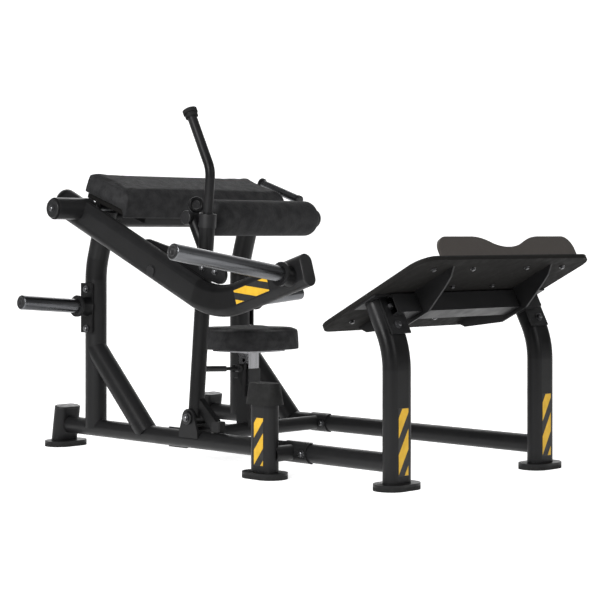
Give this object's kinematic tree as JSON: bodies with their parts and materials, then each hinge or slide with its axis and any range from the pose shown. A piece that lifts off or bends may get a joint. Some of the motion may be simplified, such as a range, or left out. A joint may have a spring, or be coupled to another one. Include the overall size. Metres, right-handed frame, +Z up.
{
  "type": "hip thrust machine",
  "caption": "Plate-loaded hip thrust machine: side-pivoted weight lever carrying a padded roller, with back pad, drop seat, sloping foot plate, rest prop and plate horns on a tube frame.",
  "frame": {"origin": "centre of the four corner floor anchor holes, on the floor", "axes": "+X from the back pad towards the foot plate, +Y across the machine away from the weight lever, +Z up"},
  "size_m": [1.8348, 1.6396, 1.1964],
  "materials": {
    "powder_black": "satin fine-texture powder coat",
    "vinyl_black": "coarse-grain upholstery vinyl over foam",
    "rubber_black": "matt moulded rubber",
    "plastic_black": "satin moulded plastic",
    "horn_steel": "plain grey steel, brushed along",
    "bolt_zinc": "bright zinc",
    "chrome": "bright chrome",
    "board_black": "black-coated board",
    "fence_brown": "dark brown-grey powder coat"
  },
  "bodies": {
    "frame": {"near_rail": "powder_black", "far_rail": "powder_black", "rear_stubs": "powder_black", "uprights": "powder_black", "braces": "powder_black", "rear_stub_caps": "plastic_black", "top_cross_tube": "powder_black", "foot_pads": "rubber_black", "foot_plates": "powder_black", "front_legs": "powder_black", "board_cross_member": "powder_black", "board_ribs": "powder_black", "leg_brackets": "powder_black", "foot_board": "board_black", "board_tread": "rubber_black", "toe_fence": "fence_brown", "rail_saddles": "powder_black", "bumper_post": "powder_black", "seat_cross_tube": "powder_black", "rubber_bumper": "rubber_black", "seat_base_tube": "powder_black", "seat_guide_sleeve": "plastic_black", "seat_lever_mount": "powder_black", "back_pad": "vinyl_black", "back_pad_board": "board_black", "grip_bar": "horn_steel", "grip_ends": "plastic_black", "pad_brackets": "powder_black", "pivot_shaft": "bolt_zinc", "pivot_caps": "plastic_black", "storage_horn_roots": "powder_black", "storage_horns": "horn_steel", "frame_bolts": "bolt_zinc", "prop_bracket": "powder_black", "prop_pin": "bolt_zinc"},
    "seat": {"seat_post": "chrome", "seat_cushion": "vinyl_black"},
    "seat_adjuster": {"seat_lever": "powder_black", "seat_lever_grip": "plastic_black"},
    "weight_lever": {"lever_beam": "powder_black", "lever_hub": "powder_black", "lever_bearings": "bolt_zinc", "lever_front_cap": "plastic_black", "load_horn_root": "powder_black", "load_horn": "horn_steel", "carriage_plate": "powder_black", "roller_carriage": "powder_black", "roller_boss_cap": "plastic_black", "roller_shaft": "bolt_zinc", "handle_collar": "plastic_black", "handle": "powder_black", "handle_knob": "rubber_black", "carriage_bolts": "bolt_zinc", "lever_plug": "plastic_black"},
    "roller": {"roller_cushion": "vinyl_black", "roller_core": "powder_black", "roller_bushes": "plastic_black", "roller_end_cap": "plastic_black"},
    "prop_arm": {"prop": "powder_black", "prop_pads": "rubber_black"}
  },
  "joints": [
    {"name": "seat_slide", "type": "slide", "parent": "frame", "child": "seat", "axis": [0, 0, 1], "range_m": [0, 0.1]},
    {"name": "seat_lever_pull", "type": "hinge", "parent": "frame", "child": "seat_adjuster", "pos_m": [-0.206, -0.058, 0.294], "axis": [-1, 0, 0], "range_deg": [0, 20], "stiffness_Nm_per_rad": 3, "springref_deg": -20.05},
    {"name": "lever_pivot", "type": "hinge", "parent": "frame", "child": "weight_lever", "pos_m": [-0.575, -0.454, 0.855], "axis": [0, -1, 0], "range_deg": [0, 30]},
    {"name": "roller_spin", "type": "hinge", "parent": "weight_lever", "child": "roller", "pos_m": [-0.113, 0, 0.822], "axis": [0, 1, 0], "continuous": true},
    {"name": "prop_swing", "type": "hinge", "parent": "frame", "child": "prop_arm", "pos_m": [-0.098, -0.3515, 0.152], "axis": [0, -1, 0], "range_deg": [0, 28]}
  ]
}
